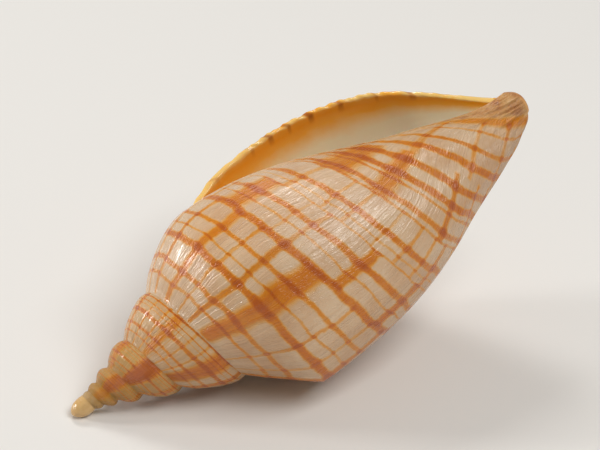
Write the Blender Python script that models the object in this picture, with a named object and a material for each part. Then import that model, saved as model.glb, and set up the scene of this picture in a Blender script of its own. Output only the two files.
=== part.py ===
"""Volute shell: one coiled sea shell of aragonite, lying on its back and apex with its mouth up.

The shell grew round an axis that runs from the apex to the front end. Every point of its wall has a
turn, which is 0 at the lip and -1 one whorl back, and a station, its distance from the apex along the
axis. The radius of the outer surface is one function of the two, girth(), and each sheet of the solid
is a grid of those points. Metres, +Z up.
"""
import math

import bmesh
import bpy
import numpy as np
from mathutils import Matrix, Vector

# Spiral seam between the whorls
WHORLS = 6                       # whorls from the apex to the lip
AXIAL_GROWTH = 1.588             # growth of the seam's station in one turn
RADIAL_GROWTH = 1.727            # growth of the seam's radius in one turn
SEAM_AT_LIP = 0.0274             # station at which the lip meets the whorl before
SEAM_RADIUS_AT_LIP = 0.01335
APEX_RADIUS = 0.00128            # the blunt first whorls
APEX_DOME = 0.0027               # station down to which they round off
APEX_RISE = 0.0010               # how far the dome stands past station 0
SLOWING = 0.89                   # how much the last whorl's girth falls behind that growth
SLOWING_FROM = 0.4

# Outline of a whorl
SHOULDER = 1.62                  # roundness of the shoulder on the older whorls
LIP_SHOULDER = 1.03              # what the lip adds to it
LIP_SHOULDER_TURNS = 0.35
SIDE_POWER = 2.31                # outer wall: how late it starts to taper
SIDE_FALL = 1.095                # and how steeply it then falls
PILLAR_POWER = 2.295             # the same for the wall inside the mouth
PILLAR_FALL = 3.55
PILLAR_FROM = -0.525             # the outline changes from one to the other between these turns
PILLAR_TO = -0.905

# Old lip, left as a corner on the shoulder
SCAR_TURN = -0.449
SCAR_TURNS = 0.035
SCAR_RAMP = 0.97
SCAR_RAMP_TURNS = 0.1
SCAR_CORNER = 0.655              # how far down the band the straight slope ends
SCAR_STATION = 0.0325
SCAR_LENGTH = 0.0060
SCAR_HEIGHT = 0.0004
SCAR_FADE = 0.4                  # share of the band over which it rises from the seam

# Front end
FRONT = 0.0797                   # station of the pillar's end
TIP_DOME = 0.0009
TIP_RING = 0.6                   # size of the ring half way up it
TIP_RING_RISE = 0.7
FRONT_RADIUS = 0.0026
PILLAR_RADIUS = 0.0008           # the pillar's side that faces the canal
PILLAR_SIDE_FROM = -0.9
PILLAR_SIDE_TURNS = 0.2
NOTCH_TURN = -0.217              # the canal's notch, cut back from the front end
NOTCH_TURNS = 0.216
NOTCH_DEPTH = 0.0049
CANAL_SWELL = 0.00183
FLARE_TURN = -0.92               # the front end's raised edge beside the mouth
FLARE_TURNS = 0.10
FLARE_HEIGHT = 0.00043
FLARE_FALL = 0.0010
FLARE_LENGTH = 0.0045
CANAL_TURN = -0.5625             # the canal is open from here to the lip
CANAL_BLEND = 0.12

# Centre line, which leans off the axis at both ends
LEAN_TURN = -0.4
FRONT_LEAN = 0.0027
FRONT_LEAN_FROM = 0.0620
APEX_LEAN = 0.00046
APEX_LEAN_AT = 0.0113
APEX_LEAN_LENGTH = 0.0077

# Wall and mouth
WALL = 0.0011
LIP_WALL = 0.0007
LIP_THIN_TURNS = 0.06
EDGE_CROWN = 0.4                 # how far the edges stand out, in wall thicknesses
STEEPEST = 1.6                   # limit to what the outline's slope adds to the wall
CORNER = 0.030                   # share of the inner wall under the lip's upper corner
MEETING = 8                      # how close to its ends the inner wall bends to meet the pillar
CAVITY_TURNS = 2.25              # how far the hollow runs back from the lip

# Folds on the pillar, seen in the mouth
FOLDS = 4
FIRST_FOLD = 0.0450
FOLD_STEP = 0.0058
FOLD_CLIMB = 0.020
FOLD_WIDTH = 0.0013
FOLD_HEIGHT = 0.0011
FOLD_DROP = 0.15                 # each fold is lower than the one before by this share
FOLD_END = 0.1                   # share of the wall at either end that has none
FOLDS_FROM = -0.93
FOLDS_TURNS = 0.08

# Lie of the shell at rest
REST_ROLL = math.radians(15.41)
REST_PITCH = math.radians(-26.52)

# Grid
STEPS = 32                       # steps in one turn
DEEP_STEP = 2                    # of these steps in one step of the hollow past the canal
BAND_STEPS = 6                   # from a whorl's seam to the next
CORNER_STEPS = 2                 # across the wall at the mouth's edge
WALL_STEPS = 24                  # from there to the front end
BUNCHING = 0.06                  # how much closer together these are at the folds
SLOPE_STEP = 0.0002
DOME_RINGS = 4


def ease(share):
    """Smooth step from 0 to 1."""
    share = np.clip(share, 0.0, 1.0)
    return share * share * (3.0 - 2.0 * share)


def bell(offset):
    return np.exp(-offset * offset)


def blunt(station):
    """Share of the radius left where the apex rounds off."""
    rise = np.clip((APEX_DOME - station) / (APEX_DOME + APEX_RISE), 0.0, 1.0)
    return np.sqrt(1.0 - rise**2)


def seam(turn):
    """Station and radius of the seam where the whorl of this turn begins."""
    late = np.maximum(turn - SLOWING_FROM, 0.0)
    station = SEAM_AT_LIP * AXIAL_GROWTH**turn
    radius = SEAM_RADIUS_AT_LIP * RADIAL_GROWTH ** (turn - SLOWING * late**2)
    return station, np.hypot(radius, APEX_RADIUS) * blunt(station)


def front_edge(turn):
    """Station and radius of the front end of the whorl's outline."""
    notch = bell((turn - NOTCH_TURN) / NOTCH_TURNS)
    wound = AXIAL_GROWTH ** np.minimum(turn - (CANAL_TURN - 1.0), 0.0)
    flare = bell((turn - FLARE_TURN) / FLARE_TURNS)
    station = FRONT * wound - NOTCH_DEPTH * notch - FLARE_FALL * flare
    inside = ease((PILLAR_SIDE_FROM - turn) / PILLAR_SIDE_TURNS)
    radius = (FRONT_RADIUS + CANAL_SWELL * notch) * (1.0 - inside) + PILLAR_RADIUS * inside
    return station, radius


def folds(turn, station):
    """Height of the pillar's folds, which fade out just outside the mouth."""
    shown = ease((FOLDS_FROM - turn) / FOLDS_TURNS)
    height = np.zeros(np.broadcast(turn, station).shape)
    for fold in range(FOLDS):
        middle = FIRST_FOLD + fold * FOLD_STEP + FOLD_CLIMB * (turn + 1.0)
        height += FOLD_HEIGHT * (1.0 - FOLD_DROP * fold) * bell((station - middle) / FOLD_WIDTH)
    return shown * height


def girth(turn, station):
    """Radius of the whorl's outer surface: a rounded band from its own seam to the next one, and below
    it a side that tapers to the front end."""
    seam_station, seam_radius = seam(turn)
    next_station, next_radius = seam(turn + 1.0)
    end_station, end_radius = front_edge(turn)
    down = np.clip((station - seam_station) / (next_station - seam_station), 0.0, 1.0)
    roundness = SHOULDER + LIP_SHOULDER * ease((turn + LIP_SHOULDER_TURNS) / LIP_SHOULDER_TURNS)
    rounded = 1.0 - (1.0 - down) ** roundness
    straight = np.minimum(down / SCAR_CORNER, 1.0)
    ramp = SCAR_RAMP * bell((turn - SCAR_TURN) / SCAR_RAMP_TURNS)
    band = seam_radius + (next_radius - seam_radius) * (rounded + ramp * (straight - rounded))
    along = np.clip((station - next_station) / (end_station - next_station), 0.0, 1.0)
    inner = ease((turn - PILLAR_FROM) / (PILLAR_TO - PILLAR_FROM))
    power = SIDE_POWER + (PILLAR_POWER - SIDE_POWER) * inner
    fall = SIDE_FALL + (PILLAR_FALL - SIDE_FALL) * inner
    side = end_radius + (next_radius - end_radius) * (1.0 - along**power) ** fall
    scar = bell((turn - SCAR_TURN) / SCAR_TURNS) * bell((station - SCAR_STATION) / SCAR_LENGTH)
    flare = bell((turn - FLARE_TURN) / FLARE_TURNS) * ease(1.0 - (FRONT - station) / FLARE_LENGTH)
    radius = np.where(station < next_station, band, side)
    radius = radius + SCAR_HEIGHT * scar * ease(down / SCAR_FADE) + FLARE_HEIGHT * flare
    return radius + folds(turn, station) * ease(along / FOLD_END) * ease((1.0 - along) / FOLD_END)


def placed(turn, station, radius):
    """Points from cylinder coordinates, with the centre line's lean added."""
    lean = FRONT_LEAN * ease((station - FRONT_LEAN_FROM) / (FRONT - FRONT_LEAN_FROM))
    lean = lean + APEX_LEAN * bell((station - APEX_LEAN_AT) / APEX_LEAN_LENGTH)
    angle = 2.0 * np.pi * turn
    lean_angle = 2.0 * np.pi * LEAN_TURN
    y = radius * np.cos(angle) + lean * math.cos(lean_angle)
    z = radius * np.sin(angle) + lean * math.sin(lean_angle)
    return np.stack(np.broadcast_arrays(station, y, z), axis=-1)


def wall_shares():
    """Shares of the way from a whorl's next seam to the front end, closest together at the folds."""
    corner = np.linspace(0.0, CORNER, CORNER_STEPS + 1)
    rest = np.linspace(0.0, 1.0, WALL_STEPS + 1)[1:]
    rest = rest + BUNCHING * np.sin(2.0 * np.pi * rest)
    return np.concatenate([corner, CORNER + (1.0 - CORNER) * rest])


def outer_sheet(turns, shares):
    """Grid of the side below the next seam, one row for each turn."""
    turn = turns[:, None]
    start, _ = seam(turn + 1.0)
    end, _ = front_edge(turn)
    station = start + (end - start) * shares[None, :]
    return placed(turn, station, girth(turn, station))


def band_sheet(turns):
    """Grid of the band between a whorl's seam and the next one."""
    turn = turns[:, None]
    start, _ = seam(turn)
    end, _ = seam(turn + 1.0)
    station = start + (end - start) * np.linspace(0.0, 1.0, BAND_STEPS + 1)[None, :]
    return placed(turn, station, girth(turn, station))


def radial_wall(turn, station):
    """Wall thickness measured along the radius, from the thickness square to the surface."""
    rise = girth(turn, station + SLOPE_STEP) - girth(turn, station - SLOPE_STEP)
    slope = rise / (2.0 * SLOPE_STEP)
    thickness = LIP_WALL + (WALL - LIP_WALL) * ease(-turn / LIP_THIN_TURNS)
    thickness = thickness * AXIAL_GROWTH ** np.minimum(turn + 1.0, 0.0)
    return thickness * np.minimum(np.sqrt(1.0 + slope**2), STEEPEST)


def inner_sheet(turns):
    """Grid of the hollow's outer side: the outer surface less the wall, drawn in at both ends to meet
    the whorl inside it, or at the front edge where the canal is open."""
    turn = turns[:, None]
    start, _ = seam(turn)
    pillar_end, pillar_radius = front_edge(turn - 1.0)
    top = start + CORNER * (pillar_end - start)
    top_radius = girth(turn - 1.0, top)
    open_share = ease((turn - CANAL_TURN) / CANAL_BLEND)
    edge_station, edge_radius = front_edge(turn)
    bottom = pillar_end + (edge_station - pillar_end) * open_share
    bottom_radius = pillar_radius + (edge_radius - WALL - pillar_radius) * open_share
    lip_stations = np.concatenate([
        np.linspace(0.0, 1.0, BAND_STEPS + 1) * (seam(1.0)[0] - seam(0.0)[0]),
        seam(1.0)[0] - seam(0.0)[0] + wall_shares()[1:] * (front_edge(0.0)[0] - seam(1.0)[0]),
    ])
    down = (lip_stations / lip_stations[-1])[None, :]
    station = top + (bottom - top) * down

    def plain(at):
        return girth(turn, at) - radial_wall(turn, at)

    radius = plain(station)
    radius = radius + (top_radius - plain(top)) * (1.0 - down) ** MEETING
    radius = radius + (bottom_radius - plain(bottom)) * down**MEETING
    return placed(turn, station, radius)


def add_sheet(mesh, points):
    """Quads over a grid of points."""
    rows, columns = points.shape[:2]
    corners = [[mesh.verts.new(point) for point in row] for row in points.tolist()]
    for row in range(rows - 1):
        for column in range(columns - 1):
            mesh.faces.new((
                corners[row][column],
                corners[row][column + 1],
                corners[row + 1][column + 1],
                corners[row + 1][column],
            ))


def add_cap(mesh, rings, centre):
    """Rings of points closed to a centre point."""
    closed = np.concatenate([rings, rings[:, :1]], axis=1)
    point = np.broadcast_to(centre, (1,) + closed.shape[1:])
    add_sheet(mesh, np.concatenate([closed, point]))


def rim(outer, inner, outward):
    """Strip over the wall's edge: the outer edge, a crown and the inner edge."""
    swell = np.sin(np.linspace(0.0, np.pi, len(outer)))[:, None] ** 0.5
    crown = (outer + inner) / 2.0 + outward * swell
    return np.stack([outer, crown, inner])


def build_mesh():
    mesh = bmesh.new()
    open_rows = round(-CANAL_TURN * STEPS)
    deep_rows = round((CAVITY_TURNS + CANAL_TURN) * STEPS / DEEP_STEP)
    last_turn = np.arange(-STEPS, 1) / STEPS
    spire = np.arange(-WHORLS * STEPS, -STEPS + 1) / STEPS
    deep = CANAL_TURN - np.arange(deep_rows, 0, -1) * DEEP_STEP / STEPS
    hollow = np.concatenate([deep, np.arange(-open_rows, 1) / STEPS])
    shares = wall_shares()

    # Spire, last whorl, and the whorl inside the mouth
    spire_band = band_sheet(spire)
    add_sheet(mesh, spire_band)
    last_band = band_sheet(last_turn)
    last_side = outer_sheet(last_turn, shares)
    add_sheet(mesh, last_band)
    add_sheet(mesh, last_side)
    pillar = outer_sheet(hollow - 1.0, shares)
    add_sheet(mesh, pillar[:, CORNER_STEPS:])
    hollow_side = inner_sheet(hollow)
    add_sheet(mesh, hollow_side)

    # Lip: its edge runs from the seam round to the canal
    lip_outer = np.concatenate([last_band[-1], last_side[-1, 1:]])
    lip_inner = hollow_side[-1]
    forward = np.array([0.0, 0.0, 1.0]) * LIP_WALL * EDGE_CROWN
    lip = rim(lip_outer, lip_inner, forward)
    lip[:, 0] = last_side[0, : CORNER_STEPS + 1]
    add_sheet(mesh, lip)

    # Edge of the canal's notch
    canal = rim(last_side[-open_rows - 1 :, -1], hollow_side[-open_rows - 1 :, -1],
                np.array([1.0, 0.0, 0.0]) * WALL * EDGE_CROWN)
    add_sheet(mesh, canal)

    # Pillar's end
    inside = pillar[-open_rows - 1 :, -1]
    outside = last_side[1 : STEPS - open_rows + 1, -1]
    loop = np.concatenate([inside, outside, canal[1:-1, 0]])
    centre = loop.mean(axis=0)
    ring = centre + (loop - centre) * TIP_RING
    ring[:, 0] += TIP_DOME * TIP_RING_RISE
    top = centre + np.array([TIP_DOME, 0.0, 0.0])
    add_cap(mesh, np.stack([loop, ring]), top)

    # Blind end of the hollow
    blind = np.concatenate([hollow_side[0], pillar[0, CORNER_STEPS:][::-1][1:-1]])
    add_cap(mesh, blind[None], blind.mean(axis=0))

    # Apex dome
    first = np.concatenate([spire_band[: STEPS + 1, 0], spire_band[0, 1:-1][::-1]])
    middle = placed(0.0, first[:, 0] * 0.0, first[:, 0] * 0.0)
    rings = []
    for tilt in np.linspace(0.0, 0.5 * np.pi, DOME_RINGS + 1)[:-1]:
        station = first[:, 0] - (first[:, 0] + APEX_RISE) * math.sin(tilt)
        ring = middle + (first - middle) * (blunt(station) / blunt(first[:, 0]))[:, None]
        ring[:, 0] = station
        rings.append(ring)
    peak = placed(0.0, np.array(0.0), np.array(0.0)) - np.array([APEX_RISE, 0.0, 0.0])
    add_cap(mesh, np.stack(rings), peak)

    bmesh.ops.remove_doubles(mesh, verts=mesh.verts, dist=1e-6)
    bmesh.ops.recalc_face_normals(mesh, faces=mesh.faces)
    return mesh


for old in list(bpy.data.objects):
    bpy.data.objects.remove(old, do_unlink=True)

parts = bpy.data.collections.new("volute_shell")
bpy.context.scene.collection.children.link(parts)

mesh = build_mesh()
data = bpy.data.meshes.new("shell")
mesh.to_mesh(data)
mesh.free()
data.shade_smooth()
data.set_sharp_from_angle(angle=math.radians(50.0))

aragonite = bpy.data.materials.new("glossy aragonite")
aragonite.use_nodes = True
finish = aragonite.node_tree.nodes["Principled BSDF"].inputs
finish["Base Color"].default_value = (0.72, 0.42, 0.24, 1.0)
finish["Roughness"].default_value = 0.3
finish["Metallic"].default_value = 0.0
data.materials.append(aragonite)

shell = bpy.data.objects.new("shell", data)
parts.objects.link(shell)
lie = Matrix.Rotation(REST_PITCH, 4, "Y") @ Matrix.Rotation(REST_ROLL, 4, "X")
corners = [lie @ vertex.co for vertex in data.vertices]
low = Vector(min(point[axis] for point in corners) for axis in range(3))
high = Vector(max(point[axis] for point in corners) for axis in range(3))
middle = (low + high) / 2.0
shell.rotation_euler = lie.to_euler()
shell.location = (-middle.x, -middle.y, -low.z)
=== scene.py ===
import math

import bmesh
import bpy
import numpy as np
from mathutils import Matrix, Vector


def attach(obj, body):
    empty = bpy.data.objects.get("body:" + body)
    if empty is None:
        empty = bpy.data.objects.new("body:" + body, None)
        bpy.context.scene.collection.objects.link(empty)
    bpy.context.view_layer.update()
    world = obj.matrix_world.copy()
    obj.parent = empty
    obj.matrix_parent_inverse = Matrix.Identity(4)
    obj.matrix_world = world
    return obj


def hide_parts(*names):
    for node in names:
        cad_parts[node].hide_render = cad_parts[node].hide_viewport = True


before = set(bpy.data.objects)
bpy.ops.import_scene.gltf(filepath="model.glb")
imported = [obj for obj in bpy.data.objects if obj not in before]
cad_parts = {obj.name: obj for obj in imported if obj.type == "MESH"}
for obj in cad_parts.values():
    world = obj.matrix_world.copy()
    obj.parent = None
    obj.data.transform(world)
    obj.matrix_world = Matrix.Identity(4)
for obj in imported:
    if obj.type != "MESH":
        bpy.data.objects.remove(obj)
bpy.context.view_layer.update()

# The wall of the shell: one sheet of aragonite that the animal wound round an axis, six whorls from the
# apex to the lip. Every point has a turn, 0 at the lip and -1 one whorl back, and a station, its
# distance from the apex along the axis. The seam is the spiral line where a whorl meets the one before.
WHORLS = 6
AXIAL_GROWTH = 1.588
RADIAL_GROWTH = 1.727
SEAM_AT_LIP = 0.0274
SEAM_RADIUS_AT_LIP = 0.01335
APEX_RADIUS = 0.00128
APEX_DOME = 0.0027
APEX_RISE = 0.0010
SLOWING = 0.89
SLOWING_FROM = 0.4


def blunt(station):
    """Share of the radius left where the apex rounds off: a quarter circle in station."""
    rise = np.clip((APEX_DOME - station) / (APEX_DOME + APEX_RISE), 0.0, 1.0)
    return np.sqrt(1.0 - rise**2)


def seam(turn):
    """Station and radius of the seam: both grow by a fixed factor in each turn, and the radius falls
    behind that with the square of the turn once the last whorl is nearly done."""
    late = np.maximum(turn - SLOWING_FROM, 0.0)
    station = SEAM_AT_LIP * AXIAL_GROWTH**turn
    radius = SEAM_RADIUS_AT_LIP * RADIAL_GROWTH ** (turn - SLOWING * late**2)
    return station, np.hypot(radius, APEX_RADIUS) * blunt(station)


# The front end: the whorl tapers to a short open canal with a notch, beside the pillar that the whorls
# wind round. It is the same wall, turned up a little into a flare where the mouth passes it.
FRONT = 0.0797
FRONT_RADIUS = 0.0026
PILLAR_RADIUS = 0.0008
PILLAR_SIDE_FROM = -0.9
PILLAR_SIDE_TURNS = 0.2
NOTCH_TURN = -0.217
NOTCH_TURNS = 0.216
NOTCH_DEPTH = 0.0049
CANAL_SWELL = 0.00183
CANAL_TURN = -0.5625
CANAL_BLEND = 0.12
FLARE_TURN = -0.92
FLARE_TURNS = 0.10
FLARE_HEIGHT = 0.00043
FLARE_FALL = 0.0010
FLARE_LENGTH = 0.0045


def ease(share):
    """Smooth step from 0 to 1: three squares less two cubes."""
    share = np.clip(share, 0.0, 1.0)
    return share * share * (3.0 - 2.0 * share)


def bell(offset):
    """Bell curve, 1 in the middle and 0.37 at an offset of 1."""
    return np.exp(-offset * offset)


def front_edge(turn):
    """Station and radius of the whorl's front end: level along the canal, cut back by two bells for
    the notch and the flare, and wound up with the growth factor behind the canal."""
    notch = bell((turn - NOTCH_TURN) / NOTCH_TURNS)
    wound = AXIAL_GROWTH ** np.minimum(turn - (CANAL_TURN - 1.0), 0.0)
    flare = bell((turn - FLARE_TURN) / FLARE_TURNS)
    station = FRONT * wound - NOTCH_DEPTH * notch - FLARE_FALL * flare
    inside = ease((PILLAR_SIDE_FROM - turn) / PILLAR_SIDE_TURNS)
    radius = (FRONT_RADIUS + CANAL_SWELL * notch) * (1.0 - inside) + PILLAR_RADIUS * inside
    return station, radius


# The folds: four ridges of the same shell on the pillar inside the mouth, each lower than the one
# before. They wind up the pillar and fade out just outside the mouth.
FOLDS = 4
FIRST_FOLD = 0.0450
FOLD_STEP = 0.0058
FOLD_CLIMB = 0.020
FOLD_WIDTH = 0.0013
FOLD_HEIGHT = 0.0011
FOLD_DROP = 0.15
FOLD_END = 0.1
FOLDS_FROM = -0.93
FOLDS_TURNS = 0.08


def fold_share(turn, station):
    """Height of the folds as a share of the first: the sum of four bells in station, the middle of
    each moving forward with the turn."""
    fold = np.arange(FOLDS)
    middle = FIRST_FOLD + fold * FOLD_STEP + FOLD_CLIMB * (turn + 1.0)[..., None]
    ridges = (1.0 - FOLD_DROP * fold) * bell((station[..., None] - middle) / FOLD_WIDTH)
    return ease((FOLDS_FROM - turn) / FOLDS_TURNS) * ridges.sum(axis=-1)


# The outline of a whorl: a rounded shoulder below the seam, then a side that narrows to the front
# end. An old lip, where growth once paused, stands as a low corner on the last shoulder.
SHOULDER = 1.62
LIP_SHOULDER = 1.03
LIP_SHOULDER_TURNS = 0.35
SIDE_POWER = 2.31
SIDE_FALL = 1.095
PILLAR_POWER = 2.295
PILLAR_FALL = 3.55
PILLAR_FROM = -0.525
PILLAR_TO = -0.905
SCAR_TURN = -0.449
SCAR_TURNS = 0.035
SCAR_RAMP = 0.97
SCAR_RAMP_TURNS = 0.1
SCAR_CORNER = 0.655
SCAR_STATION = 0.0325
SCAR_LENGTH = 0.0060
SCAR_HEIGHT = 0.0004
SCAR_FADE = 0.4
FRONT_LEAN = 0.0027
FRONT_LEAN_FROM = 0.0620
APEX_LEAN = 0.00046
APEX_LEAN_AT = 0.0113
APEX_LEAN_LENGTH = 0.0077
LEAN_TURN = -0.4


def girth(turn, station):
    """Radius of the outer surface. From the seam to the next one it rises as 1 less a power of what is
    left; below, it falls as a power of 1 less a power of the way down; bells add the scar, the flare
    and the folds."""
    turn, station = np.broadcast_arrays(turn, station)
    seam_station, seam_radius = seam(turn)
    next_station, next_radius = seam(turn + 1.0)
    end_station, end_radius = front_edge(turn)
    down = np.clip((station - seam_station) / (next_station - seam_station), 0.0, 1.0)
    roundness = SHOULDER + LIP_SHOULDER * ease((turn + LIP_SHOULDER_TURNS) / LIP_SHOULDER_TURNS)
    rounded = 1.0 - (1.0 - down) ** roundness
    straight = np.minimum(down / SCAR_CORNER, 1.0)
    ramp = SCAR_RAMP * bell((turn - SCAR_TURN) / SCAR_RAMP_TURNS)
    band = seam_radius + (next_radius - seam_radius) * (rounded + ramp * (straight - rounded))
    along = np.clip((station - next_station) / (end_station - next_station), 0.0, 1.0)
    inner = ease((turn - PILLAR_FROM) / (PILLAR_TO - PILLAR_FROM))
    power = SIDE_POWER + (PILLAR_POWER - SIDE_POWER) * inner
    fall = SIDE_FALL + (PILLAR_FALL - SIDE_FALL) * inner
    side = end_radius + (next_radius - end_radius) * (1.0 - along**power) ** fall
    scar = bell((turn - SCAR_TURN) / SCAR_TURNS) * bell((station - SCAR_STATION) / SCAR_LENGTH)
    flare = bell((turn - FLARE_TURN) / FLARE_TURNS) * ease(1.0 - (FRONT - station) / FLARE_LENGTH)
    folds = FOLD_HEIGHT * fold_share(turn, station)
    folds = folds * ease(along / FOLD_END) * ease((1.0 - along) / FOLD_END)
    radius = np.where(station < next_station, band, side)
    return radius + SCAR_HEIGHT * scar * ease(down / SCAR_FADE) + FLARE_HEIGHT * flare + folds


def placed(turn, station, radius):
    """Points from cylinder coordinates, X along the axis, with a smooth step and a bell of the station
    leaning the centre line to one side at the front end and at the apex."""
    lean = FRONT_LEAN * ease((station - FRONT_LEAN_FROM) / (FRONT - FRONT_LEAN_FROM))
    lean = lean + APEX_LEAN * bell((station - APEX_LEAN_AT) / APEX_LEAN_LENGTH)
    angle = 2.0 * np.pi * turn
    lean_angle = 2.0 * np.pi * LEAN_TURN
    y = radius * np.cos(angle) + lean * math.cos(lean_angle)
    z = radius * np.sin(angle) + lean * math.sin(lean_angle)
    return np.stack(np.broadcast_arrays(station, y, z), axis=-1)


# Growth marks: the wall was laid down strip by strip along the lip, so low uneven waves run across
# every whorl parallel to the lip, and the lip itself is cut in shallow scallops. The seam lies in a
# crease, the older whorls bulge between their seams, and the front end is wrinkled.
WAVE_HEIGHT = 0.000055
WAVES_PER_TURN = (17.0, 29.0, 43.0, 61.0)
WAVE_BEND = 0.35                 # radians by which a wave wanders along its length
WAVE_BEND_LENGTH = 9.0           # mm of the outline for one radian of that wandering
WAVE_BEND_STEP = 4.0             # mm that each finer wave adds to it
WAVE_OFFSET = 1.7                # radians between the starts of two sets of waves
WAVE_FALL = 0.5                  # added for each finer wave to the number its height is divided by
WAVE_START_TURNS = 0.02          # turns left smooth where the last whorl begins
WAVE_FULL_FROM = -0.5            # turn from which the waves have their full height
WAVE_CLEAR = 2.0                 # mm of the outline left smooth next to the seam
CREASE_DEPTH = 0.00030
CREASE_WIDTH = 1.4               # mm of the outline on either side of the seam, on the last whorl
CREASE_FADE = 0.08               # turns behind the lip over which the crease begins
CREASE_WIDER = 0.9               # share by which it is wider on the small whorls
CREASE_START = 0.25              # its depth where the first whorl begins, as a share
CREASE_GROW_TURNS = 3.2          # turns over which it deepens from there
ROUND_HEIGHT = 0.00028
ROUND_FROM = -1.6
ROUND_TURNS = 1.2
ROUND_GROW_TURNS = 2.2           # turns over which the bulge rises from the first whorl on
SCALLOP_TURNS = 0.0024
SCALLOP_FADE = 0.03              # turns behind the lip over which the scallops die out
SCALLOP_SPACING = 5.6            # mm along the lip
SCALLOP_MEAN = 0.6               # about the mean of a scallop, so that the lip keeps its place
SMALL_SCALLOP = 2.4              # mm along the lip
SMALL_SHARE = 0.5                # half their height, as a share of a large one's
UNEVEN = 2.0                     # radians by which the small ones are out of step
UNEVEN_LENGTH = 3.1              # mm along the lip for one radian of that
SCALLOPS_START = 4.0             # mm along the lip over which they rise
SCALLOPS_END = 8.0
BAND_LENGTH = 14.0               # mm of outline from the seam to the end of the shoulder band
SIDE_LENGTH = 50.0               # mm from there to the front end
WRINKLE_HEIGHT = 0.00011
WRINKLES_FROM = 0.86             # share of the side past which the front end is wrinkled
WRINKLES_PER_TURN = (23.0, 37.0)
NARROW_SHARE = 0.6               # height of the narrow wrinkles, as a share of the wide ones'
WRINKLE_BEND = 0.02              # turns by which they wander
WRINKLE_BENDS = 9.0              # radians of that wandering down the whole side
WRINKLE_RISE = 0.08              # share of the side over which they rise
WRINKLE_END = 0.02
WRINKLE_FADE = 0.05              # turns at either end of the whorl over which they fade


def crease(turn, down):
    """Depth of the crease that the seam lies in: one bell at either end of the band, wider on the small
    whorls and shallower on the first, faded out where the lip meets the whorl before."""
    depth = 0.0
    for seam_turn, away in ((turn, down), (turn + 1.0, BAND_LENGTH - down)):
        width = CREASE_WIDTH * (1.0 + CREASE_WIDER * ease((ROUND_FROM - seam_turn) / ROUND_TURNS))
        first = CREASE_START + (1.0 - CREASE_START) * ease((seam_turn + WHORLS) / CREASE_GROW_TURNS)
        depth = depth + CREASE_DEPTH * first * ease(-seam_turn / CREASE_FADE) * bell(away / width)
    return depth


def rounding(turn, down):
    """Height by which the older whorls bulge: a sine squared from seam to seam, less on the first."""
    older = ease((ROUND_FROM - turn) / ROUND_TURNS) * ease((turn + WHORLS) / ROUND_GROW_TURNS)
    return ROUND_HEIGHT * older * np.sin(np.pi * down / BAND_LENGTH) ** 2


def growth_waves(turn, down):
    """Height of the growth waves: four sines in the turn, each bent a little by the way down, lower on
    the older whorls, and faded out at the seam, at the next seam on the older whorls, and where the
    last whorl begins."""
    wave = np.zeros(np.broadcast(turn, down).shape)
    for order, count in enumerate(WAVES_PER_TURN):
        bend = WAVE_BEND * np.sin(down / (WAVE_BEND_LENGTH + WAVE_BEND_STEP * order) + order)
        phase = 2.0 * np.pi * count * turn + bend + WAVE_OFFSET * order
        wave = wave + np.sin(phase) / (1.0 + WAVE_FALL * order)
    shown = ease(down / WAVE_CLEAR) * (1.0 - bell((turn + 1.0) / WAVE_START_TURNS))
    next_clear = ease((BAND_LENGTH - down) / WAVE_CLEAR)
    size = np.clip(RADIAL_GROWTH ** (turn - WAVE_FULL_FROM), 0.0, 1.0)
    return WAVE_HEIGHT * wave * shown * size * np.where(turn < -1.0, next_clear, 1.0)


def wrinkles(turn, share):
    """Height of the wrinkles that old ends of the canal left round the front end: two sines in the turn,
    bent by the way down."""
    bent = turn + WRINKLE_BEND * np.sin(WRINKLE_BENDS * share)
    wide, narrow = WRINKLES_PER_TURN
    wrinkle = np.sin(2.0 * np.pi * wide * bent)
    wrinkle = wrinkle + NARROW_SHARE * np.sin(2.0 * np.pi * narrow * bent + 1.0)
    inside = ease((share - WRINKLES_FROM) / WRINKLE_RISE) * ease((1.0 - share) / WRINKLE_END)
    ends = ease(-turn / WRINKLE_FADE), ease((turn + 1.0) / WRINKLE_FADE)
    return WRINKLE_HEIGHT * wrinkle * inside * ends[0] * ends[1]


def scalloped(turn, down):
    """The turn, moved near the lip by a row of round scallops with a smaller uneven sine on them, and
    left as it is behind it."""
    scallop = np.abs(np.sin(np.pi * down / SCALLOP_SPACING)) - SCALLOP_MEAN
    uneven = UNEVEN * np.sin(down / UNEVEN_LENGTH)
    scallop = scallop + SMALL_SHARE * np.sin(2.0 * np.pi * down / SMALL_SCALLOP + uneven)
    ends = ease(down / SCALLOPS_START) * ease((BAND_LENGTH + SIDE_LENGTH - down) / SCALLOPS_END)
    return turn + SCALLOP_TURNS * scallop * ends * ease(1.0 + turn / SCALLOP_FADE)


# The outside: the band below the seam on every whorl, and the long side of the last one. The lip laid
# it down in layers of aragonite, the outermost first, and the colour is in that one.
TURN_STEPS = 192                 # steps in one turn
BAND_STEPS = 12                  # from a whorl's seam to the next one
SIDE_STEPS = 78
CORNER_STEPS = 6
CORNER = 0.030                   # share of the side that lies under the lip's upper corner
BUNCHING = 0.06
FRONT_CLEAR = 0.03               # share of the side without growth waves at the front edge

sheets = []


def lay_sheet(points, turn, down, behind_lip, finish):
    """Keep a grid of points with its turn, its way down the outline in mm, its distance behind the
    lip in mm, and the number of its finish."""
    shape = points.shape[:2]
    fields = [np.broadcast_to(np.asarray(field, float), shape) for field in (turn, down, behind_lip)]
    sheets.append((points, np.stack(fields, axis=-1), finish))


def side_shares():
    """Shares of the way down the side: straight in the corner, then evenly spaced and bunched by a
    sine towards the folds."""
    corner = np.linspace(0.0, CORNER, CORNER_STEPS + 1)
    rest = np.linspace(0.0, 1.0, SIDE_STEPS + 1)[1:]
    rest = rest + BUNCHING * np.sin(2.0 * np.pi * rest)
    return np.concatenate([corner, CORNER + (1.0 - CORNER) * rest])


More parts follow.
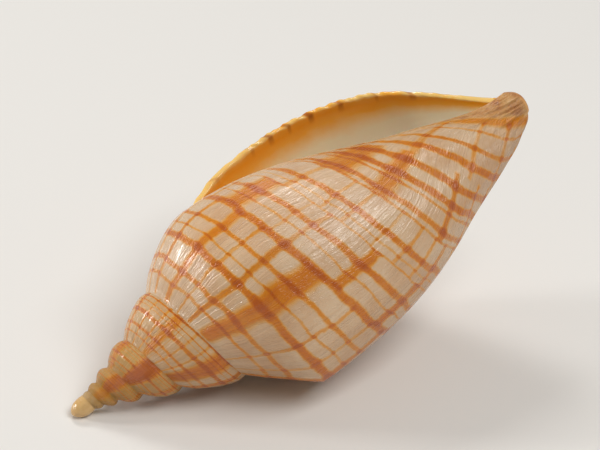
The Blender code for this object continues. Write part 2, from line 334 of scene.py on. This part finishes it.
def band(turns):
    """Grid of the shoulder band: the outline's radius plus the growth waves, from seam to seam.
    Returns the points, the turns and the way down."""
    share = np.linspace(0.0, 1.0, BAND_STEPS + 1)[None, :]
    down = BAND_LENGTH * share
    turn = scalloped(turns[:, None], down)
    start, _ = seam(turn)
    end, _ = seam(turn + 1.0)
    station = start + (end - start) * share
    relief = growth_waves(turn, down) + rounding(turn, down) - crease(turn, down)
    return placed(turn, station, girth(turn, station) + relief), turn, down


def side(turns):
    """Grid of the side: the outline's radius plus the growth waves, from the next seam to the front
    end. Returns the points, the turns and the way down."""
    share = side_shares()[None, :]
    down = BAND_LENGTH + SIDE_LENGTH * share
    turn = scalloped(turns[:, None], down)
    start, _ = seam(turn + 1.0)
    end, _ = front_edge(turn)
    station = start + (end - start) * share
    waves = growth_waves(turn, down) * ease((1.0 - share) / FRONT_CLEAR) * (turn >= -1.0)
    relief = waves + wrinkles(turn, share)
    return placed(turn, station, girth(turn, station) + relief), turn, down


PAINTED, PORCELAIN = 0, 1
LIP_GIRTH = 95.0                 # mm that the lip travels in one turn
last_turn = np.arange(-TURN_STEPS, 1) / TURN_STEPS
spire = np.arange(-WHORLS * TURN_STEPS, -TURN_STEPS + 1) / TURN_STEPS
spire_band, spire_turn, spire_down = band(spire)
last_band, last_band_turn, last_band_down = band(last_turn)
last_side, last_side_turn, last_side_down = side(last_turn)
lay_sheet(spire_band, spire_turn, spire_down, LIP_GIRTH, PAINTED)
lay_sheet(last_band, last_band_turn, last_band_down, -LIP_GIRTH * last_band_turn, PAINTED)
lay_sheet(last_side, last_side_turn, last_side_down, -LIP_GIRTH * last_side_turn, PAINTED)

# The inside: the hollow of the last two and a quarter turns, lined with smooth porcelain-like shell,
# and the pillar with its folds. The wall is about a millimetre thick and thins towards the lip.
WALL = 0.0011
LIP_WALL = 0.0007
LIP_THIN_TURNS = 0.06
STEEPEST = 1.6
MEETING = 8
CAVITY_TURNS = 2.25
DEEP_STEP = 4
SLOPE_STEP = 0.0002


def radial_wall(turn, station):
    """Wall thickness along the radius: the thickness square to the surface times the root of one plus
    the outline's slope squared."""
    rise = girth(turn, station + SLOPE_STEP) - girth(turn, station - SLOPE_STEP)
    slope = rise / (2.0 * SLOPE_STEP)
    thickness = LIP_WALL + (WALL - LIP_WALL) * ease(-turn / LIP_THIN_TURNS)
    thickness = thickness * AXIAL_GROWTH ** np.minimum(turn + 1.0, 0.0)
    return thickness * np.minimum(np.sqrt(1.0 + slope**2), STEEPEST)


def hollow_side(turns):
    """Grid of the hollow's outer side: the outline less the wall, drawn at both ends by a high power
    of the way down to the whorl inside it, or to the front edge along the canal. Returns the points,
    the turns and the way down."""
    down_mm = np.concatenate([BAND_LENGTH * np.linspace(0.0, 1.0, BAND_STEPS + 1),
                              BAND_LENGTH + SIDE_LENGTH * side_shares()[1:]])[None, :]
    turn = scalloped(turns[:, None], down_mm)
    start, _ = seam(turn)
    pillar_end, pillar_radius = front_edge(turn - 1.0)
    top = start + CORNER * (pillar_end - start)
    top_radius = girth(turn - 1.0, top)
    open_share = ease((turn - CANAL_TURN) / CANAL_BLEND)
    edge_station, edge_radius = front_edge(turn)
    bottom = pillar_end + (edge_station - pillar_end) * open_share
    bottom_radius = pillar_radius + (edge_radius - WALL - pillar_radius) * open_share
    band_reach = seam(1.0)[0] - seam(0.0)[0]
    side_reach = front_edge(0.0)[0] - seam(1.0)[0]
    reach = np.concatenate([np.linspace(0.0, 1.0, BAND_STEPS + 1) * band_reach,
                            band_reach + side_shares()[1:] * side_reach])
    down = (reach / reach[-1])[None, :]
    station = top + (bottom - top) * down
    radius = girth(turn, station) - radial_wall(turn, station)
    radius = radius + (top_radius - girth(turn, top) + radial_wall(turn, top)) * (1.0 - down) ** MEETING
    missing = bottom_radius - girth(turn, bottom) + radial_wall(turn, bottom)
    return placed(turn, station, radius + missing * down**MEETING), turn, down_mm


open_rows = round(-CANAL_TURN * TURN_STEPS)
deep_rows = round((CAVITY_TURNS + CANAL_TURN) * TURN_STEPS / DEEP_STEP)
deep = CANAL_TURN - np.arange(deep_rows, 0, -1) * DEEP_STEP / TURN_STEPS
hollow = np.concatenate([deep, np.arange(-open_rows, 1) / TURN_STEPS])
lining, lining_turn, lining_down = hollow_side(hollow)
pillar, pillar_turn, pillar_down = side(hollow - 1.0)
lay_sheet(lining, lining_turn, lining_down, -LIP_GIRTH * lining_turn, PORCELAIN)
lay_sheet(pillar[:, CORNER_STEPS:], pillar_turn[:, CORNER_STEPS:], pillar_down[:, CORNER_STEPS:],
          -LIP_GIRTH * (pillar_turn[:, CORNER_STEPS:] + 1.0), PORCELAIN)
blind = np.concatenate([lining[0], pillar[0, CORNER_STEPS:][::-1][1:-1]])

# The edges: the lip and the canal's rim, both a thin rounded bead of bare shell, and the pillar's end,
# a low dome with a small pit where the front end is worn.
EDGE_CROWN = 0.4                 # how far the edges stand out, in wall thicknesses
TIP_DOME = 0.0009
TIP_PIT = 0.00035
TIP_PIT_WIDTH = 0.35             # as a share of the pillar's end
TIP_RINGS = 8


def bead(outer, inner, outward):
    """Rounded strip over an edge: half an ellipse from the outer edge to the inner one, its long
    axis a multiple of the outward direction that dies away at both ends of the edge."""
    tilt = np.linspace(0.0, np.pi, CORNER_STEPS + 1)[:, None, None]
    swell = np.sin(np.linspace(0.0, np.pi, len(outer)))[:, None] ** 0.5
    middle, half = (outer + inner) / 2.0, (outer - inner) / 2.0
    return middle + half * np.cos(tilt) + outward * swell * np.sin(tilt)


def closing(rings, centre):
    """Rings of points closed on themselves and down to a centre point."""
    closed = np.concatenate([rings, rings[:, :1]], axis=1)
    return np.concatenate([closed, np.broadcast_to(centre, (1,) + closed.shape[1:])])


lip_outer = np.concatenate([last_band[-1], last_side[-1, 1:]])
lip = bead(lip_outer, lining[-1], np.array([0.0, 0.0, 1.0]) * LIP_WALL * EDGE_CROWN)
lip[:, 0] = last_side[0, : CORNER_STEPS + 1]
lay_sheet(lip, turn=0.0, down=lining_down, behind_lip=0.0, finish=PORCELAIN)
canal = bead(last_side[-open_rows - 1 :, -1], lining[-open_rows - 1 :, -1],
             np.array([1.0, 0.0, 0.0]) * WALL * EDGE_CROWN)
lay_sheet(canal, turn=hollow[-open_rows - 1 :], down=BAND_LENGTH + SIDE_LENGTH, behind_lip=6.0,
          finish=PORCELAIN)
inside = pillar[-open_rows - 1 :, -1]
outside = last_side[1 : TURN_STEPS - open_rows + 1, -1]
loop = np.concatenate([inside, outside, canal[1:-1, 0]])
centre = loop.mean(axis=0)
shrink = np.linspace(1.0, 0.0, TIP_RINGS + 1)[:-1, None]
rings = centre + (loop - centre) * shrink[..., None]
pit = TIP_PIT * (bell(shrink / TIP_PIT_WIDTH) - bell(1.0 / TIP_PIT_WIDTH))
rings[..., 0] += TIP_DOME * np.sqrt(1.0 - shrink**2) - pit
rings[0] = loop
top = centre + np.array([TIP_DOME - TIP_PIT, 0.0, 0.0])
lay_sheet(closing(rings, top), turn=-0.8, down=BAND_LENGTH + SIDE_LENGTH, behind_lip=8.0, finish=PAINTED)
lay_sheet(closing(blind[None], blind.mean(axis=0)), turn=-CAVITY_TURNS, down=30.0, behind_lip=LIP_GIRTH,
          finish=PORCELAIN)

# The apex: the first whorl, a smooth blunt bulb about three millimetres across.
DOME_RINGS = 14
APEX_SWELL = 0.30                # how far the bulb stands out from a plain dome, as a share
first = np.concatenate([spire_band[: TURN_STEPS + 1, 0], spire_band[0, 1:-1][::-1]])
first_station = first[:, 0]
middle = placed(0.0, first_station * 0.0, first_station * 0.0)
tilt = np.linspace(0.0, 0.5 * np.pi, DOME_RINGS + 1)[:-1, None]
station = first_station - (first_station + APEX_RISE) * np.sin(tilt)
swell = 1.0 + APEX_SWELL * np.sin(2.0 * tilt)
domes = middle + (first - middle) * (swell * blunt(station) / blunt(first_station))[..., None]
domes[..., 0] = station
peak = placed(0.0, np.array(0.0), np.array(0.0)) - np.array([APEX_RISE, 0.0, 0.0])
lay_sheet(closing(domes, peak), turn=-WHORLS, down=6.0, behind_lip=LIP_GIRTH, finish=PAINTED)

# The whole shell: the sheets joined into one closed skin and laid on its back and its apex. The skin
# carries its turn and way down the outline, which the colours follow.
REST_ROLL = math.radians(15.41)
REST_PITCH = math.radians(-26.52)
LINE_STRETCH = 0.157             # how fast the spiral lines spread in a turn, on the shoulder
LINE_STRETCH_BELOW = 0.85        # and how fast below it
LINES_FROM = 10.0                # mm down the outline where that begins
LINES_TURN = -0.6                # turn at which they lie at their stated places
LINES_BACK = -1.3                # turns from there at which the faster spreading sets in
LEAN_FROM = 33.0                 # mm down the outline where the cross lines begin to lean
LEAN = 0.00035                   # turns for each square millimetre


def growth_lines(turn, down):
    """Where a point lies between the spiral lines, which spread with an exponential of the turn, faster
    below the shoulder, and between the cross lines, which lean back with the square of the way down."""
    late = turn - LINES_TURN
    slow = np.exp(-LINE_STRETCH * late)
    fast = np.exp(-LINE_STRETCH_BELOW * np.maximum(late, LINES_BACK))
    spiral = down * slow + np.maximum(down - LINES_FROM, 0.0) * (fast - slow)
    cross = turn + LEAN * np.maximum(down - LEAN_FROM, 0.0) ** 2
    return np.stack([cross, spiral], axis=-1)


def quads(rows, columns, start):
    """Corner numbers of the quads of a grid whose points are numbered row by row from start."""
    corner = start + np.arange(rows * columns).reshape(rows, columns)
    ring = [corner[:-1, :-1], corner[:-1, 1:], corner[1:, 1:], corner[1:, :-1]]
    return np.stack(ring, axis=-1).reshape(-1, 4)


faces, start = [], 0
for points, _, _ in sheets:
    faces.append(quads(*points.shape[:2], start))
    start += points.shape[0] * points.shape[1]
finishes = np.concatenate([np.full(len(face), sheet[2]) for face, sheet in zip(faces, sheets)])
faces = np.concatenate(faces)
points = np.concatenate([sheet[0].reshape(-1, 3) for sheet in sheets])
fields = np.concatenate([sheet[1].reshape(-1, 3) for sheet in sheets])
lie = np.array(Matrix.Rotation(REST_PITCH, 3, "Y") @ Matrix.Rotation(REST_ROLL, 3, "X"))
points = points @ lie.T
points -= [*((points.min(axis=0) + points.max(axis=0)) / 2.0)[:2], points[:, 2].min()]

data = bpy.data.meshes.new("shell_skin")
data.from_pydata(points.tolist(), [], faces.tolist())
data.polygons.foreach_set("material_index", finishes.astype(np.int32))
corners = fields[faces.reshape(-1)]
growth_map = data.uv_layers.new(name="growth")
growth_map.uv.foreach_set("vector", corners[:, :2].astype(np.float32).ravel())
line_map = data.uv_layers.new(name="lines")
line_map.uv.foreach_set("vector", growth_lines(corners[:, 0], corners[:, 1]).astype(np.float32).ravel())
behind = data.attributes.new("behind_lip", "FLOAT", "POINT")
behind.data.foreach_set("value", fields[:, 2].astype(np.float32))
skin = bmesh.new()
skin.from_mesh(data)
bmesh.ops.remove_doubles(skin, verts=skin.verts, dist=1e-6)
bmesh.ops.recalc_face_normals(skin, faces=skin.faces)
skin.to_mesh(data)
skin.free()
data.shade_smooth()
shell = bpy.data.objects.new("shell_skin", data)
bpy.context.scene.collection.objects.link(shell)


# The painted outside: glossy aragonite, polished by the animal's mantle. Orange-brown pigment lies in it
# as a net of spiral lines and cross lines, laid down with the wall and darkest where they meet, over a
# greyish cream ground; fine growth lines break the highlights up into streaks.
def linear(code):
    """Linear colour from an sRGB hex code."""
    channels = [int(code[i : i + 2], 16) / 255.0 for i in (1, 3, 5)]
    return (*[c / 12.92 if c <= 0.04045 else ((c + 0.055) / 1.055) ** 2.4 for c in channels], 1.0)


def add(material, kind, *values, stops=(), **settings):
    """Add a node and return its outputs. Settings are its properties, and stops its ramp's places with a
    hex code or a grey. Values go to its inputs in order: a socket is linked, None leaves one as it is."""
    node = material.node_tree.nodes.new(kind)
    for name, value in settings.items():
        setattr(node, name, value)
    for socket, value in zip([socket for socket in node.inputs if socket.enabled], values):
        if isinstance(value, bpy.types.NodeSocket):
            material.node_tree.links.new(value, socket)
        elif value is not None:
            socket.default_value = value
    for number, (place, shade) in enumerate(stops):
        ramp = node.color_ramp.elements
        element = ramp[number] if number < len(ramp) else ramp.new(1.0)
        element.position = place
        element.color = linear(shade) if isinstance(shade, str) else (shade, shade, shade, 1.0)
    return [output for output in node.outputs if output.enabled]


MATH, RANGE, RAMP, MIX = "ShaderNodeMath", "ShaderNodeMapRange", "ShaderNodeValToRGB", "ShaderNodeMix"
NOISE, SPLIT = "ShaderNodeTexNoise", "ShaderNodeSeparateXYZ"


def strokes(material, value, marks):
    """Pigment of a row of strokes. Each mark is a place, a width and a strength; the pigment spreads a
    little past the width on either side, paler and paler. Seven strokes go in one ramp."""
    total = 0.0
    marks = sorted(marks)
    for group in [marks[i : i + 7] for i in range(0, len(marks), 7)]:
        low = group[0][0] - 1.2 * group[0][1]
        high = group[-1][0] + 1.2 * group[-1][1]
        stops, last = [], 0.0
        for place, width, strength in group:
            for offset, shade in ((-0.8, 0.0), (-0.3, strength), (0.3, strength), (0.8, 0.0)):
                last = max((place + offset * width - low) / (high - low), last)
                stops.append((last, shade))
        share = add(material, RANGE, value, low, high)[0]
        pigment = add(material, RAMP, share, stops=stops)[0]
        total = add(material, MATH, pigment, total, operation="ADD")[0]
    return total


# width in mm and strength of the spiral lines, by their place on the outline in mm
SPIRAL_LINES = [
    (3.1, 0.5, 0.40), (5.6, 0.8, 0.50), (10.1, 1.25, 0.62), (13.0, 0.45, 0.35), (16.0, 0.75, 0.48),
    (20.5, 1.25, 0.62), (23.5, 0.4, 0.35), (25.8, 1.0, 0.55), (29.0, 0.4, 0.33), (30.5, 0.4, 0.30),
    (32.3, 1.0, 0.58), (36.5, 0.45, 0.38), (37.8, 0.85, 0.52), (40.5, 0.5, 0.36), (42.0, 1.1, 0.60),
    (45.0, 1.15, 0.60), (49.0, 1.2, 0.60), (52.5, 0.9, 0.48), (56.5, 0.6, 0.36), (60.5, 3.0, 0.42),
]
# cross lines on the last whorl: place and width in turns, and strength, for each belt of the outline,
# which is given by the millimetres where it starts and ends
CROSS_BELTS = [
    (0.0, 20.6, [
        (-0.955, 0.014, 0.5), (-0.905, 0.006, 0.3), (-0.865, 0.009, 0.35), (-0.820, 0.009, 0.40),
        (-0.7625, 0.017, 0.52), (-0.7175, 0.006, 0.35), (-0.6775, 0.010, 0.45), (-0.625, 0.034, 0.60),
        (-0.546, 0.006, 0.36), (-0.4975, 0.007, 0.3), (-0.452, 0.018, 0.56), (-0.408, 0.006, 0.34),
        (-0.362, 0.012, 0.48), (-0.318, 0.006, 0.33), (-0.267, 0.020, 0.58), (-0.221, 0.007, 0.34),
        (-0.183, 0.012, 0.45), (-0.136, 0.006, 0.34), (-0.088, 0.017, 0.54), (-0.046, 0.006, 0.32),
    ]),
    (20.6, 29.2, [
        (-0.958, 0.007, 0.34), (-0.912, 0.014, 0.44), (-0.852, 0.007, 0.32), (-0.793, 0.040, 0.52),
        (-0.710, 0.005, 0.25), (-0.6775, 0.008, 0.35), (-0.589, 0.015, 0.55), (-0.485, 0.017, 0.56),
        (-0.432, 0.008, 0.40), (-0.390, 0.006, 0.30), (-0.341, 0.015, 0.50), (-0.290, 0.006, 0.34),
        (-0.236, 0.020, 0.54), (-0.170, 0.007, 0.34), (-0.118, 0.014, 0.50), (-0.064, 0.007, 0.34),
    ]),
    (29.2, 36.6, [
        (-0.945, 0.006, 0.30), (-0.885, 0.010, 0.35), (-0.765, 0.012, 0.35), (-0.6975, 0.006, 0.33),
        (-0.660, 0.006, 0.34), (-0.603, 0.005, 0.26), (-0.560, 0.007, 0.36), (-0.5175, 0.007, 0.36),
        (-0.480, 0.010, 0.44), (-0.437, 0.006, 0.34), (-0.379, 0.014, 0.48), (-0.330, 0.006, 0.30),
        (-0.276, 0.008, 0.38), (-0.214, 0.018, 0.52), (-0.158, 0.006, 0.32), (-0.100, 0.010, 0.42),
        (-0.050, 0.006, 0.30),
    ]),
    (36.6, 47.0, [
        (-0.930, 0.010, 0.36), (-0.760, 0.070, 0.52), (-0.655, 0.040, 0.46), (-0.510, 0.016, 0.46),
        (-0.425, 0.010, 0.40), (-0.352, 0.018, 0.46), (-0.262, 0.012, 0.42), (-0.185, 0.022, 0.48),
        (-0.105, 0.010, 0.38),
    ]),
    (47.0, 60.0, [
        (-0.840, 0.020, 0.36), (-0.640, 0.026, 0.34), (-0.470, 0.014, 0.34), (-0.340, 0.020, 0.36),
        (-0.200, 0.014, 0.32),
    ]),
]
CROSS_BEFORE_LAST = [
    (-1.955, 0.014, 0.42), (-1.905, 0.007, 0.32), (-1.850, 0.016, 0.46), (-1.785, 0.008, 0.36),
    (-1.735, 0.008, 0.36), (-1.700, 0.030, 0.45), (-1.6825, 0.014, 0.46), (-1.640, 0.007, 0.34),
    (-1.5975, 0.007, 0.34), (-1.548, 0.050, 0.72), (-1.465, 0.020, 0.58), (-1.405, 0.008, 0.34),
    (-1.350, 0.014, 0.44), (-1.298, 0.008, 0.34), (-1.240, 0.024, 0.55), (-1.180, 0.008, 0.34),
    (-1.125, 0.014, 0.46), (-1.060, 0.008, 0.36), (-1.010, 0.020, 0.50),
]
CROSS_OLDER = [
    (-4.66, 0.12, 0.60), (-4.30, 0.06, 0.40), (-3.93, 0.05, 0.40), (-3.68, 0.10, 0.80),
    (-3.48, 0.04, 0.40), (-3.30, 0.06, 0.50), (-3.12, 0.04, 0.40), (-2.94, 0.05, 0.50),
    (-2.82, 0.05, 0.50), (-2.64, 0.075, 0.95), (-2.49, 0.03, 0.44), (-2.36, 0.04, 0.55),
    (-2.21, 0.03, 0.46), (-2.08, 0.04, 0.56),
]

paint = bpy.data.materials.new("painted aragonite")
paint.use_nodes = True
finish = paint.node_tree.nodes["Principled BSDF"]
place = add(paint, "ShaderNodeTexCoord")[3]
turn, down, _ = add(paint, SPLIT, add(paint, "ShaderNodeUVMap", uv_map="growth")[0])
cross, spiral, _ = add(paint, SPLIT, add(paint, "ShaderNodeUVMap", uv_map="lines")[0])

# the lines wander by about half a millimetre over every five, and their edges are ragged by about a
# tenth over every two thirds; both come from noise in the shell's own space
WANDER_SCALE, RAGGED_SCALE = 190.0, 1500.0        # patches of noise in a metre
SPIRAL_WANDER, SPIRAL_RAGGED = 1.2, 0.35          # mm for the noise's whole range
CROSS_WANDER, CROSS_RAGGED = 0.013, 0.005         # turns for the same
BELT_BLEND = 0.25                                 # mm on either side of a belt's end
wander = add(paint, "ShaderNodeSeparateColor", add(paint, NOISE, place, WANDER_SCALE, 1.0)[1])
ragged = add(paint, "ShaderNodeSeparateColor", add(paint, NOISE, place, RAGGED_SCALE, 2.0)[1])


def moved(value, noise, rough_noise, amount, rough_amount):
    """The value moved either way by two noises."""
    shift = add(paint, MATH, noise, amount, value, operation="MULTIPLY_ADD")[0]
    shift = add(paint, MATH, rough_noise, rough_amount, shift, operation="MULTIPLY_ADD")[0]
    return add(paint, MATH, shift, (amount + rough_amount) / 2.0, operation="SUBTRACT")[0]


spiral = moved(spiral, wander[0], ragged[0], SPIRAL_WANDER, SPIRAL_RAGGED)
cross = moved(cross, wander[1], ragged[1], CROSS_WANDER, CROSS_RAGGED)
pigment = strokes(paint, cross, CROSS_BEFORE_LAST + CROSS_OLDER)
for low, high, marks in CROSS_BELTS:
    above = add(paint, RANGE, spiral, low - BELT_BLEND, low + BELT_BLEND)[0]
    below = add(paint, RANGE, spiral, high + BELT_BLEND, high - BELT_BLEND)[0]
    belt = add(paint, MATH, above, below, operation="MULTIPLY")[0]
    pigment = add(paint, MATH, strokes(paint, cross, marks), belt, pigment, operation="MULTIPLY_ADD")[0]
pigment = add(paint, MATH, strokes(paint, spiral, SPIRAL_LINES), pigment, operation="ADD")[0]

# pigment is patchy, thin on the oldest whorls, and covered by the pillar's glaze beside the mouth
patchy = add(paint, RANGE, add(paint, NOISE, place, 260.0, 3.0)[0], 0.3, 0.7, 0.75, 1.15)[0]
oldest = add(paint, RANGE, turn, -5.6, -3.6, 0.3, 1.0)[0]
upper = add(paint, MATH, add(paint, RANGE, cross, -0.835, -0.885)[0], add(paint, RANGE, down, 14.0, 24.0)[0],
            operation="MULTIPLY")[0]
lower = add(paint, MATH, add(paint, RANGE, cross, -0.64, -0.80)[0], add(paint, RANGE, down, 40.0, 50.0)[0],
            operation="MULTIPLY")[0]
glaze = add(paint, MATH, upper, lower, operation="MAXIMUM")[0]
glaze = add(paint, MATH, glaze, add(paint, RANGE, turn, -1.001, -0.999)[0], operation="MULTIPLY")[0]
for thinned in (patchy, oldest, add(paint, RANGE, glaze, 0.0, 1.0, 1.0, 0.12)[0]):
    pigment = add(paint, MATH, pigment, thinned, operation="MULTIPLY")[0]

# the colours: the ground by age with a cloudy change of shade, golden under the glaze and worn brown at
# the front end, then the pigment over it, golden where it is thin and burnt orange where lines cross
age = add(paint, RANGE, turn, -6.0, 0.0)[0]
ground = add(paint, RAMP, age, stops=[
    (0.0, "#D8B67C"), (0.16, "#C89C50"), (0.5, "#C0934A"), (0.66, "#CBA46C"), (0.76, "#D2B18C"),
    (0.84, "#D6B896"), (1.0, "#D5B693")])[0]
cloud = add(paint, RANGE, add(paint, NOISE, place, 120.0, 4.0, 0.6)[0], 0.35, 0.68)[0]
ground = add(paint, MIX, cloud, ground, linear("#EEDCCC"), data_type="RGBA", blend_type="MULTIPLY")[0]
ground = add(paint, MIX, glaze, ground, linear("#D8AC74"), data_type="RGBA")[0]
front_end = add(paint, RANGE, spiral, 56.0, 64.0, 0.0, 0.8)[0]
worn = add(paint, RAMP, add(paint, NOISE, place, 700.0, 4.0, 0.65)[0], stops=[
    (0.34, "#A65E1E"), (0.44, "#C4823A"), (0.6, "#D09A54"), (1.0, "#DAB684")])[0]
ground = add(paint, MIX, front_end, ground, worn, data_type="RGBA")[0]
ink = add(paint, RAMP, pigment, stops=[
    (0.0, "#D9A646"), (0.25, "#D8931C"), (0.42, "#D07E06"), (0.62, "#C46A00"), (1.0, "#B05400")])[0]
density = add(paint, RAMP, pigment, stops=[
    (0.0, 0.0), (0.08, 0.05), (0.24, 0.55), (0.40, 0.97), (1.0, 1.0)])[0]
colour = add(paint, MIX, density, ground, ink, data_type="RGBA")[0]

# growth lines 0.4 and 0.14 mm apart at the last whorl, drawn out along the lip's direction
STRIAE_PER_TURN = 240.0
STRIAE_PER_MM = 0.06                              # along the lip
FINE_STRIAE = 2.8                                 # how many times closer the fine ones are
across = add(paint, MATH, cross, STRIAE_PER_TURN, operation="MULTIPLY")[0]
along = add(paint, MATH, spiral, STRIAE_PER_MM, operation="MULTIPLY")[0]
striae = add(paint, "ShaderNodeCombineXYZ", across, along)[0]
coarse = add(paint, NOISE, striae, 1.0, 2.0)[0]
fine = add(paint, NOISE, striae, FINE_STRIAE, 1.0)[0]
height = add(paint, MATH, fine, 0.5, coarse, operation="MULTIPLY_ADD")[0]
# painted shade: where the coarse growth lines stand high, the colour is darkened a little towards
# cream-brown, a shadow painted along each striation
striae_painted_shade = add(paint, RANGE, coarse, 0.42, 0.7, 0.0, 0.35)[0]
colour_with_painted_shade = add(paint, MIX, striae_painted_shade, colour, linear("#E9D6BC"), data_type="RGBA", blend_type="MULTIPLY")[0]
link = paint.node_tree.links.new
link(colour_with_painted_shade, finish.inputs["Base Color"])
link(add(paint, RANGE, coarse, 0.3, 0.75, 0.16, 0.34)[0], finish.inputs["Roughness"])
link(add(paint, "ShaderNodeBump", 1.0, 0.00017, None, height)[0], finish.inputs["Normal"])
finish.inputs["IOR"].default_value = 1.53
finish.inputs["Coat Weight"].default_value = 0.1
finish.inputs["Coat Roughness"].default_value = 0.12
finish.inputs["Subsurface Weight"].default_value = 0.04
finish.inputs["Subsurface Radius"].default_value = (1.0, 0.55, 0.3)
finish.inputs["Subsurface Scale"].default_value = 0.0006
data.materials.append(paint)

# The porcelain inside: the last, smooth layer of aragonite, cream and glossy, laid by the mantle. It has a
# golden-orange border behind the lip, a thin paler margin with a few brown spots where spiral lines
# end, and orange folds.
porcelain = bpy.data.materials.new("aragonite porcelain")
porcelain.use_nodes = True
finish = porcelain.node_tree.nodes["Principled BSDF"]
place = add(porcelain, "ShaderNodeTexCoord")[3]
turn, down, _ = add(porcelain, SPLIT, add(porcelain, "ShaderNodeUVMap", uv_map="growth")[0])
behind_lip = add(porcelain, "ShaderNodeAttribute", attribute_name="behind_lip")[2]
cloud = add(porcelain, NOISE, place, 150.0, 4.0, 0.6)[0]
uneven = add(porcelain, MATH, cloud, 3.0, -1.5, operation="MULTIPLY_ADD")[0]
border = add(porcelain, MATH, behind_lip, uneven, operation="ADD")[0]
lining_shade = add(porcelain, RAMP, add(porcelain, RANGE, border, 0.0, 12.0)[0], stops=[
    (0.0, "#EAC070"), (0.025, "#ECA93A"), (0.10, "#ECA024"), (0.22, "#EEAC3E"), (0.34, "#F0CA88"),
    (0.5, "#F3E6C4"), (1.0, "#F4ECD6")])[0]
wavering = add(porcelain, MATH, cloud, 1.2, down, operation="MULTIPLY_ADD")[0]
spots = strokes(porcelain, wavering, [
    (7.9, 0.5, 0.3), (14.3, 0.5, 0.35), (19.2, 1.1, 0.75), (24.1, 0.7, 0.6), (29.6, 1.2, 0.8),
    (36.5, 1.0, 0.7), (43.9, 0.6, 0.4), (50.3, 1.0, 0.6)])
margin = add(porcelain, RANGE, behind_lip, 1.8, 0.2)[0]
spots = add(porcelain, MATH, spots, margin, operation="MULTIPLY")[0]
shade = add(porcelain, MIX, spots, lining_shade, linear("#A4520E"), data_type="RGBA")[0]
folds_here = add(porcelain, MATH, add(porcelain, RANGE, turn, -0.99, -1.0)[0],
                 add(porcelain, RANGE, down, 30.0, 44.0, 0.0, 0.7)[0], operation="MULTIPLY")[0]
shade = add(porcelain, MIX, folds_here, shade, linear("#D9913C"), data_type="RGBA")[0]
ripple = add(porcelain, NOISE, place, 420.0, 3.0)[0]
link = porcelain.node_tree.links.new
link(shade, finish.inputs["Base Color"])
link(add(porcelain, RANGE, ripple, 0.3, 0.7, 0.12, 0.24)[0], finish.inputs["Roughness"])
link(add(porcelain, "ShaderNodeBump", 0.35, 0.00012, None, ripple)[0], finish.inputs["Normal"])
finish.inputs["IOR"].default_value = 1.6
finish.inputs["Coat Weight"].default_value = 0.25
finish.inputs["Coat Roughness"].default_value = 0.06
finish.inputs["Subsurface Weight"].default_value = 0.35
finish.inputs["Subsurface Radius"].default_value = (1.0, 0.7, 0.45)
finish.inputs["Subsurface Scale"].default_value = 0.0014
data.materials.append(porcelain)
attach(shell, "root")
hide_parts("shell")

# The studio: a floor of pale paper, a small low lamp at the left, a second one high behind, and a wide
# soft one high in front on the right. The world fills in, and shows its full pale grey to the camera
# alone.
FLOOR = 3.0                      # from its middle to each side
WORLD_LIGHT = 0.29
WORLD_SEEN = 1.0
floor_data = bpy.data.meshes.new("floor")
floor_corners = [(-FLOOR, -FLOOR, 0.0), (FLOOR, -FLOOR, 0.0), (FLOOR, FLOOR, 0.0), (-FLOOR, FLOOR, 0.0)]
floor_data.from_pydata(floor_corners, [], [(0, 1, 2, 3)])
floor = bpy.data.objects.new("floor", floor_data)
bpy.context.scene.collection.objects.link(floor)
paper = bpy.data.materials.new("pale paper")
paper.use_nodes = True
paper.node_tree.nodes["Principled BSDF"].inputs["Base Color"].default_value = linear("#E4E1DC")
paper.node_tree.nodes["Principled BSDF"].inputs["Roughness"].default_value = 0.9
floor_data.materials.append(paper)

world = bpy.data.worlds.new("studio")
world.use_nodes = True
world.node_tree.nodes["Background"].inputs["Color"].default_value = linear("#E8E6E2")
seen = add(world, "ShaderNodeLightPath")[0]
brightness = add(world, RANGE, seen, 0.0, 1.0, WORLD_LIGHT, WORLD_SEEN)[0]
world.node_tree.links.new(brightness, world.node_tree.nodes["Background"].inputs["Strength"])
bpy.context.scene.world = world


def lamp(name, turn_deg, rise_deg, distance, size, power):
    """Square lamp at a heading and height seen from the shell, facing it."""
    light = bpy.data.lights.new(name, "AREA")
    light.size, light.energy = size, power
    lamp_object = bpy.data.objects.new(name, light)
    bpy.context.scene.collection.objects.link(lamp_object)
    heading, rise = math.radians(turn_deg), math.radians(rise_deg)
    away = np.array([math.cos(heading) * math.cos(rise), math.sin(heading) * math.cos(rise), math.sin(rise)])
    lamp_object.location = away * distance
    lamp_object.rotation_euler = Vector(away).to_track_quat("Z", "Y").to_euler()


lamp("window", turn_deg=148.0, rise_deg=14.0, distance=0.6, size=0.08, power=1.8)
lamp("overhead", turn_deg=84.0, rise_deg=55.0, distance=0.6, size=0.16, power=1.0)
lamp("front", turn_deg=-70.0, rise_deg=60.0, distance=0.7, size=0.34, power=2.8)

camera_data = bpy.data.cameras.new("camera")
camera_data.lens = 120.0
camera_data.sensor_width = 36.0
camera_data.clip_start, camera_data.clip_end = 0.01, 20.0
camera = bpy.data.objects.new("camera", camera_data)
bpy.context.scene.collection.objects.link(camera)
camera.location = (-0.1191742, -0.2114938, 0.1875561)
camera.rotation_euler = [math.radians(angle) for angle in (55.731, -1.680, -28.392)]
bpy.context.scene.camera = camera
bpy.context.scene.view_settings.view_transform = "Standard"
